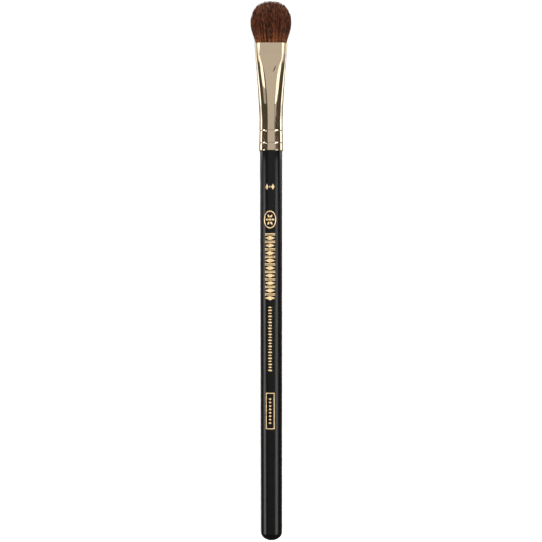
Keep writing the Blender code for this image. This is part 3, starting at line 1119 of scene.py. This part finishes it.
@dataclass
class HairTuft:
    """The tuft: hairs grown on a unit disc, laid into the oval section that the bundle has at each height."""

    axis: BrushAxis
    ferrule: Ferrule
    hair_length: float = 13.7 * MM
    backing_depth: float = 0.4 * MM
    backing_thickness: float = 0.3 * MM
    root_gap: float = 0.02 * MM
    belly_height: float = 6.75 * MM
    belly_half_width: float = 6.54 * MM
    belly_half_thickness: float = 3.78 * MM
    root_end_squareness: float = 2.2
    root_squareness: float = 3.2
    belly_squareness: float = 2.0
    swell_power: float = 1.35
    crown_squareness: float = 2.3
    crown_closing: float = 0.13
    crown_rounds: int = 6
    cells: int = 68
    inset: float = 0.0028
    thinning: float = 0.3
    lock_styles: tuple[LockStyle, ...] = (
        LockStyle(count=280, hold=(0.2, 0.6), lean=0.035, cut=0.12 * MM, rim_calm=0.5),
        LockStyle(count=1500, hold=(0.45, 0.9), lean=0.03, cut=0.2 * MM, rim_calm=0.3),
    )
    lock_shades: Point2 = (0.12, 0.55)
    hair_shade: float = 0.24
    mean_shade: float = 0.5
    # Painted shade: how much darker a hair is painted for each millimetre it is cut shorter, as if less light
    # reached it
    painted_depth_shade: float = 0.3
    pull_power: float = 1.6
    wander: float = 0.016
    tip_spread: float = 1.1 * MM
    tip_power: float = 5
    rim: float = 0.992
    rim_slack: float = 0.065
    slack_power: float = 5
    slack_span: Point2 = (0.75, 1.0)
    waist: Point2 = (3.6 * MM, 1.1 * MM)
    waist_span: Point2 = (5.05 * MM, 9.0 * MM)
    waist_slope: float = 0.25 * MM
    root_length: float = 11.2 * MM
    root_steps: int = 96
    seed: int = 11

    def crown_share(self, radius: float) -> float:
        """Finds where hair meets the dome.

        Args:
            radius: Where it grows, as a radius on the unit disc.

        Returns:
            A share of the way from belly to crown.
        """
        share = 0.0
        for _ in range(self.crown_rounds):
            reach = min(radius * (1 - self.crown_closing * share**2), 1)
            share = (1 - reach**self.crown_squareness) ** (1 / self.crown_squareness)
        return share

    def section(self, height: float) -> Point3:
        """Gives the tuft's section at a height.

        Args:
            height: The height above the mouth, or below it where it is negative.

        Returns:
            Half width, half thickness and squareness.
        """
        inset = self.ferrule.wall + self.root_gap
        if height <= 0:
            half_width, half_thickness = (side - inset for side in self.ferrule.section(-height))
            first, last = self.waist_span
            if first <= -height <= last:
                half_width = min(half_width, self.waist[0])
                half_thickness = min(half_thickness, self.waist[1])
            rounding = (self.root_squareness - self.root_end_squareness) * min(-height / self.root_length, 1)
            return half_width, half_thickness, self.root_squareness - rounding
        rise = min(height / self.belly_height, 1)
        swell = math.sin(math.pi / 2 * rise) ** self.swell_power
        closing = max(height - self.belly_height, 0) / (self.hair_length - self.belly_height)
        narrow = 1 - self.crown_closing * closing**2
        mouth_width, mouth_thickness = (side - inset for side in self.ferrule.section(0))
        half_width = (mouth_width + (self.belly_half_width - mouth_width) * swell) * narrow
        swollen = mouth_thickness + (self.belly_half_thickness - mouth_thickness) * swell
        half_thickness = swollen * narrow
        squareness = self.root_squareness + (self.belly_squareness - self.root_squareness) * rise
        return half_width, half_thickness, squareness

    def laid_in(self, across: float, up: float, height: float) -> Vector:
        """Lays a point of the unit disc into the tuft's section.

        Args:
            across: Its place on the disc, across the brush.
            up: Its place on the disc, through the brush's thickness.
            height: Its height above the mouth.

        Returns:
            The point in the upright frame.
        """
        half_width, half_thickness, squareness = self.section(height)
        radius = math.hypot(across, up)
        if radius == 0:
            return Vector((0, 0, height))
        powers = abs(across / radius) ** squareness + abs(up / radius) ** squareness
        bulge = powers ** (-1 / squareness)
        return Vector((half_width * across * bulge, half_thickness * up * bulge, height))

    def bed(self, layer: HairLayer) -> tuple[bmesh.types.BMesh, list[bmesh.types.BMFace]]:
        """Makes the backing that a layer's hairs grow from.

        Args:
            layer: Which layer.

        Returns:
            The backing, and the face that each hair starts at.
        """
        inner, outer, _ = layer.value
        bed = bmesh.new()
        bmesh.ops.create_grid(bed, x_segments=self.cells, y_segments=self.cells, size=1)
        for vertex in bed.verts:
            across, up = vertex.co.x, vertex.co.y
            far = max(abs(across), abs(up))
            if far:
                angle = math.atan2(up, across)
                # Each square ring becomes a circle, with its corners spread evenly round it
                quarter = math.floor((angle + math.pi / 4) / (math.pi / 2)) * math.pi / 2
                offset = math.tan(angle - quarter) * math.pi / 4
                vertex.co = (far * math.cos(quarter + offset), far * math.sin(quarter + offset), 0)
        bmesh.ops.triangulate(bed, faces=bed.faces[:], quad_method="SHORT_EDGE")
        others = [face for face in bed.faces if not inner <= face.calc_center_median().length < outer]
        bmesh.ops.delete(bed, geom=others, context="FACES")
        made = bmesh.ops.extrude_face_region(bed, geom=bed.faces[:])["geom"]
        lifted = picked(made, bmesh.types.BMVert)
        bmesh.ops.translate(bed, verts=lifted, vec=(0, 0, self.backing_thickness))
        bmesh.ops.translate(bed, verts=bed.verts[:], vec=(0, 0, -self.backing_depth - self.backing_thickness))
        return bed, picked(made, bmesh.types.BMFace)

    def grow(self, layer: HairLayer, finish: BrownHair) -> bmesh.types.BMesh:
        """Grows a layer's hairs from its bed, lock by lock, and lays them into the tuft.

        Args:
            layer: Which layer.
            finish: The hair's finish, which names the attributes that hold shade and distance from the root.

        Returns:
            The layer, in place.
        """
        groups = [style.locks(self.seed + number) for number, style in enumerate(self.lock_styles)]
        trees = [planted(locks) for locks in groups]
        chance = random.Random(self.seed + len(layer.name))
        bed, faces = self.bed(layer)
        shade_layer = bed.verts.layers.float.new(finish.shade_attribute)
        along_layer = bed.verts.layers.float.new(finish.along_attribute)
        bmesh.ops.inset_individual(bed, faces=faces, thickness=self.inset, use_even_offset=True)
        top = self.hair_length - self.belly_height
        strands = []
        for face in faces:
            root = face.calc_center_median()
            root.z = 0.0
            shade = self.mean_shade + chance.gauss(0, self.hair_shade)
            slack = smooth_step(*self.slack_span, root.length) * (1 - chance.random() ** self.slack_power)
            pull = -root * self.rim_slack * slack
            cut = self.tip_spread * (1 - chance.random() ** self.tip_power)
            for locks, tree, weight in zip(groups, trees, self.lock_shades):
                lock = locks[tree.find(root)[1]]
                shade += lock.shade * weight
                gathered = (Vector((*lock.middle, 0)) - root) * lock.hold * (1 - pull.length)
                pull += gathered + Vector((*lock.lean, 0))
                cut += lock.cut * root.length
            # Painted shade: the shorter a hair is cut, the deeper it sits and the darker it is painted
            shade -= self.painted_depth_shade * cut / MM
            wander = Vector((chance.gauss(0, self.wander), chance.gauss(0, self.wander), 0))
            reach = self.belly_height + top * self.crown_share(min(root.length, 1)) - cut
            shade = min(max(shade, 0), 1)
            for vertex in face.verts:
                vertex[shade_layer] = shade
            strands.append((root, pull, wander, shade, reach))
        width_before = 1.0
        _, _, bends = layer.value
        for share in bends:
            width = 1 - (1 - self.thinning) * share**2
            narrowing, width_before = width / width_before, width
            faces = bmesh.ops.extrude_discrete_faces(bed, faces=faces)["faces"]
            for face, (root, pull, wander, shade, reach) in zip(faces, strands):
                place = root + pull * share**self.pull_power + wander * share
                place *= min(1.0, self.rim / place.length)
                place.z = reach * share
                centre = face.calc_center_median()
                for vertex in face.verts:
                    vertex.co = place + (vertex.co - centre) * narrowing
                    vertex[along_layer] = share
                    vertex[shade_layer] = shade
        for vertex in bed.verts:
            vertex.co = self.laid_in(*vertex.co)
        bmesh.ops.recalc_face_normals(bed, faces=bed.faces[:])
        self.axis.lay_down(bed)
        return bed

    def bound_root(self, finish: BrownHair) -> bmesh.types.BMesh:
        """The cemented root inside the ferrule, drawn in where the thread goes round it.

        Args:
            finish: The hair's finish, which names the attribute that holds the shade.

        Returns:
            The root, in place.
        """
        root = bmesh.new()
        shade_layer = root.verts.layers.float.new(finish.shade_attribute)
        bmesh.ops.create_circle(root, cap_ends=True, radius=1, segments=self.root_steps)
        for vertex in root.verts:
            vertex.co.z = -self.backing_depth - self.backing_thickness
        rim = root.edges[:]
        first, last = self.waist_span
        for depth in (first - self.waist_slope, first, last, last + self.waist_slope, self.root_length):
            rim = picked(bmesh.ops.extrude_edge_only(root, edges=rim)["geom"], bmesh.types.BMEdge)
            for vertex in {vertex for edge in rim for vertex in edge.verts}:
                vertex.co.z = -depth
        bmesh.ops.edgeloop_fill(root, edges=rim)
        for vertex in root.verts:
            vertex[shade_layer] = self.mean_shade
            vertex.co = self.laid_in(*vertex.co)
        bmesh.ops.recalc_face_normals(root, faces=root.faces[:])
        self.axis.lay_down(root)
        return root

    def build(self, finish: BrownHair) -> None:
        """Makes the tuft's layers and its root.

        Args:
            finish: The hair's finish.
        """
        material = finish.material()
        add_piece("bound_hair_root", self.bound_root(finish), material)
        add_piece("hair_core", self.grow(HairLayer.CORE, finish), material)
        add_piece("hair_coat", self.grow(HairLayer.COAT, finish), material, ["hair_tuft"])


class Shown(Enum):
    """Which surfaces a light shows on."""

    DIFFUSED = "matt surfaces"
    MIRRORED = "glossy surfaces"
    FULLY = "both"


@dataclass(frozen=True)
class SoftLight:
    """A rectangular soft light that faces a line along the brush.

    Attributes:
        name: Its name.
        place: Its middle.
        aim: Where that line runs, across the brush and up.
        size: How wide it is across the brush, and how long along it.
        radiance: How bright its face is, with the table's white at about one.
        colour: Its colour.
        shown: Which surfaces it shows on.
        roll: How far it is rolled about its own middle, in degrees.
    """

    name: str
    place: Point3
    aim: Point2
    size: Point2
    radiance: float
    colour: str = "FFFFFF"
    shown: Shown = Shown.FULLY
    roll: float = 0.0

    def build(self) -> None:
        """Hangs the light."""
        lamp = bpy.data.lights.new(self.name, "AREA")
        lamp.shape = "RECTANGLE"
        lamp.size, lamp.size_y = self.size
        lamp.energy = self.radiance * math.pi * self.size[0] * self.size[1]
        lamp.color = linear(self.colour)[:3]
        light = bpy.data.objects.new(self.name, lamp)
        across, up = self.aim
        back = (Vector(self.place) - Vector((across, self.place[1], up))).normalized()
        side = Vector((0, 1, 0)).cross(back).normalized()
        facing = Matrix((side, back.cross(side), back)).transposed().to_4x4()
        roll = Matrix.Rotation(math.radians(self.roll), 4, back)
        light.matrix_world = Matrix.Translation(self.place) @ (roll @ facing)
        light.visible_camera = False
        light.visible_glossy = self.shown is not Shown.DIFFUSED
        light.visible_diffuse = self.shown is not Shown.MIRRORED
        bpy.context.scene.collection.objects.link(light)


@dataclass
class Studio:
    """The pale table, the soft lights and the camera that looks straight down.

    The room's zones are given by how far a direction points up (Z) or along the brush (Y), from -1 to 1.
    """

    axis: BrushAxis
    table_size: float = 1.0
    table_colours: tuple[str, str] = ("F4F4F3", "EDEDEC")
    table_grain: float = 10 / 9 * MM
    table_roughness: float = 0.9
    wall_colour: str = "33302C"
    skirting_colour: str = "FFFFFF"
    skirting_top: Point2 = (-0.3, -0.24)
    skirting_front: Point2 = (0.06, 0.085)
    floor_colour: str = "616160"
    floor_edge: Point2 = (-0.68, -0.62)
    seen_colour: str = "FFFFFF"
    room_strength: float = 2.2
    lens: float = 100.0
    sensor: float = 36.0
    picture_width: float = 171.27 * MM
    clip: Point2 = (0.01, 20.0)
    camera_shift: Point2 = (-0.08 * MM, 0.05 * MM)
    camera_roll: float = math.radians(-0.055)

    def table(self) -> None:
        """Lays the table under the brush. It is small, because a wide one darkens towards the horizon."""
        top = bmesh.new()
        bmesh.ops.create_grid(top, x_segments=4, y_segments=4, size=self.table_size / 2)
        mesh = bpy.data.meshes.new("pale_table")
        top.to_mesh(mesh)
        top.free()
        surface = {"Roughness": self.table_roughness, "Specular IOR Level": 0.0}
        made, shader, place = principled("matt_pale_board", surface)
        tree = made.node_tree
        grain = add_node(tree, "TexNoise", {"Vector": place, "Scale": 1 / self.table_grain, "Detail": 2.0})
        first, second = (linear(colour) for colour in self.table_colours)
        colours = {MIX_A: first, MIX_B: second}
        tint = add_node(tree, "Mix", {"Factor": grain, **colours}, data_type="RGBA").outputs[MIX_RESULT]
        feed(shader, {"Base Color": tint})
        mesh.materials.append(made)
        table = bpy.data.objects.new("pale_table", mesh)
        bpy.context.scene.collection.objects.link(table)
        # The metal mirrors the room's grey floor instead, so that its rims stand out against the white table
        table.visible_glossy = False

    def ceiling(self) -> list[SoftLight]:
        """Makes the lights overhead: five fields of ceiling, from the hair's end to the butt's, and a fill.

        Returns:
            The lights.
        """
        above = (0, self.axis.height)
        return [
            SoftLight("ceiling_front", (-0.032, 0.44, 0.9), (-0.032, 0), (1.104, 0.54), 0.49, "FFFCFA"),
            SoftLight("ceiling_round", (0.145, 0.14, 0.9), (0.145, 0), (1.55, 0.06), 0.48, "FFFAFC"),
            SoftLight("ceiling_near", (-0.05, 0.065, 0.9), (-0.05, 0), (1.30, 0.09), 0.48, "FFFAFC"),
            SoftLight("ceiling_middle", (-0.03, -0.06, 0.9), (-0.03, 0), (1.34, 0.16), 0.36, "FFFCF6"),
            SoftLight("ceiling_rear", (0, -0.37, 0.9), (0, 0), (1.40, 0.46), 0.18, "FFFCF6"),
            SoftLight("overhead_fill", (0, 0, 2.0), above, (0.5, 0.5), 60, shown=Shown.DIFFUSED),
        ]

    def beside_ferrule(self) -> list[SoftLight]:
        """Makes the lights beside the ferrule.

        The two softboxes light what is matt. The metal mirrors the rest: on each side of the press, the
        panel draws the bright band, the flap the grey patch under it, the card the rim next to the mouth,
        and the mouth card the end of the band beside that rim.

        Returns:
            The lights.
        """
        matt, metal = Shown.DIFFUSED, Shown.MIRRORED
        box_aim, card_aim = (0, 0.004), (0, 0.005)
        left_aim, right_aim = (-0.0035, 0.006), (0.0035, 0.006)
        rows = (
            ("left_softbox", (-0.254, 0.2525, 0.165), box_aim, (0.1375, 0.32), 1.5, 0, matt),
            ("right_softbox", (0.243, 0.252, 0.18), box_aim, (0.155, 0.32), 1.5, 0, matt),
            ("left_panel", (-0.0853, 0.1137, 0.0619), left_aim, (0.0405, 0.07), 1.5, 3.6, metal),
            ("left_flap", (-0.0842, 0.073, 0.0636), left_aim, (0.0405, 0.0116), 0.35, 3.6, metal),
            ("left_card", (-0.06, 0.0745, 0.005), card_aim, (0.036, 0.0042), 0.45, 0, metal),
            ("left_mouth_card", (-0.03, 0.0732, 0.01495), (0, 0.01495), (0.0041, 0.0068), 1.5, 0, metal),
            ("right_panel", (0.0706, 0.1055, 0.0791), right_aim, (0.044, 0.07), 1.5, 10, metal),
            ("right_flap", (0.0692, 0.0655, 0.0805), right_aim, (0.026, 0.011), 0.4, 10, metal),
            ("right_card", (0.06, 0.0745, 0.005), card_aim, (0.036, 0.0042), 0.55, 0, metal),
            ("right_mouth_card", (0.03, 0.07355, 0.0189), (0, 0.0189), (0.0062, 0.0065), 1.5, 0, metal),
        )
        return [SoftLight(*row, roll=roll, shown=shown) for *row, roll, shown in rows]

    def beside_handle(self) -> list[SoftLight]:
        """Makes the strips of light beside the handle, which draw its soft stripes.

        Returns:
            The lights.
        """
        return [
            SoftLight("left_strip", (-0.37, -0.095, 0.09), (0, 0.004), (0.16, 0.31), 3.6),
            SoftLight("right_strip", (0.30, -0.095, 0.19), (0, 0.004), (0.18, 0.31), 3.0),
        ]

    def room(self) -> None:
        """Makes the room: white to the camera, mirrored as dark walls, a lit skirting and a grey floor."""
        world = bpy.data.worlds.new("studio_room")
        world.use_nodes = True
        bpy.context.scene.world = world
        tree = world.node_tree
        way = add_node(tree, "TexCoord").outputs["Generated"]
        parts = add_node(tree, "SeparateXYZ", {"Vector": way}).outputs
        floor, low = (
            add_node(tree, "MapRange", {"Value": parts["Z"], **limits("From", edge), **FALLING})
            for edge in (self.floor_edge, self.skirting_top)
        )
        ahead = add_node(tree, "MapRange", {"Value": parts["Y"], **limits("From", self.skirting_front)})
        skirting = add_node(tree, "Math", {0: low, 1: ahead}, operation="MULTIPLY")
        seen = add_node(tree, "LightPath").outputs["Is Camera Ray"]
        zones = ((skirting, self.skirting_colour), (floor, self.floor_colour), (seen, self.seen_colour))
        tint = linear(self.wall_colour)
        for factor, hex_code in zones:
            colours = {MIX_A: tint, MIX_B: linear(hex_code)}
            tint = add_node(tree, "Mix", {"Factor": factor, **colours}, data_type="RGBA").outputs[MIX_RESULT]
        feed(tree.nodes["Background"], {"Color": tint, "Strength": self.room_strength})

    def camera(self) -> None:
        """Hangs the camera over the brush, looking straight down with the hair at the picture's top."""
        data = bpy.data.cameras.new("overhead_camera")
        data.lens, data.sensor_width = self.lens, self.sensor
        data.clip_start, data.clip_end = self.clip
        distance = self.picture_width * self.lens / self.sensor
        camera = bpy.data.objects.new("overhead_camera", data)
        camera.location = (*self.camera_shift, self.axis.height + distance)
        camera.rotation_euler = (0, 0, self.camera_roll)
        bpy.context.scene.collection.objects.link(camera)
        bpy.context.scene.camera = camera

    def build(self) -> None:
        """Sets up the studio."""
        self.table()
        lights = [*self.ceiling(), *self.beside_ferrule(), *self.beside_handle()]
        for light in lights:
            light.build()
        self.room()
        self.camera()
        bpy.context.scene.view_settings.view_transform = "Standard"
        LOG.info("studio: %d lights", len(lights))


def dress_hidden_nodes() -> None:
    """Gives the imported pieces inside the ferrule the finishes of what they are."""
    finishes = {
        "tenon_adhesive": ("cured_wood_glue", ("D9C48C", "C7AE72"), 0.45, 1.2 * MM, 0.02 * MM),
        "root_cement": ("cast_amber_resin", ("B9813A", "8E5A22"), 0.25, 1.6 * MM, 0.01 * MM),
        "binding_thread": ("waxed_cotton_thread", ("D8D0BE", "BFB49C"), 0.8, 0.12 * MM, 0.03 * MM),
    }
    for node, values in finishes.items():
        finish = MottledFinish(*values)
        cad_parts[node].data.materials.clear()
        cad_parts[node].data.materials.append(finish.material())
        LOG.info("%s: %s", node, finish.name)


def main() -> None:
    """Builds the brush and its studio, piece by piece."""
    logging.basicConfig(level=logging.INFO, format="%(name)s %(message)s")
    axis = BrushAxis.from_frame()
    ferrule = Ferrule(axis)
    handle = Handle(axis, ferrule)
    handle.build(BlackLacquer())
    FoilPrint(handle).build(GoldFoil())
    ferrule.build(PaleGoldPlating())
    HairTuft(axis, ferrule).build(BrownHair())
    dress_hidden_nodes()
    Studio(axis).build()


if __name__ == "__main__":
    main()
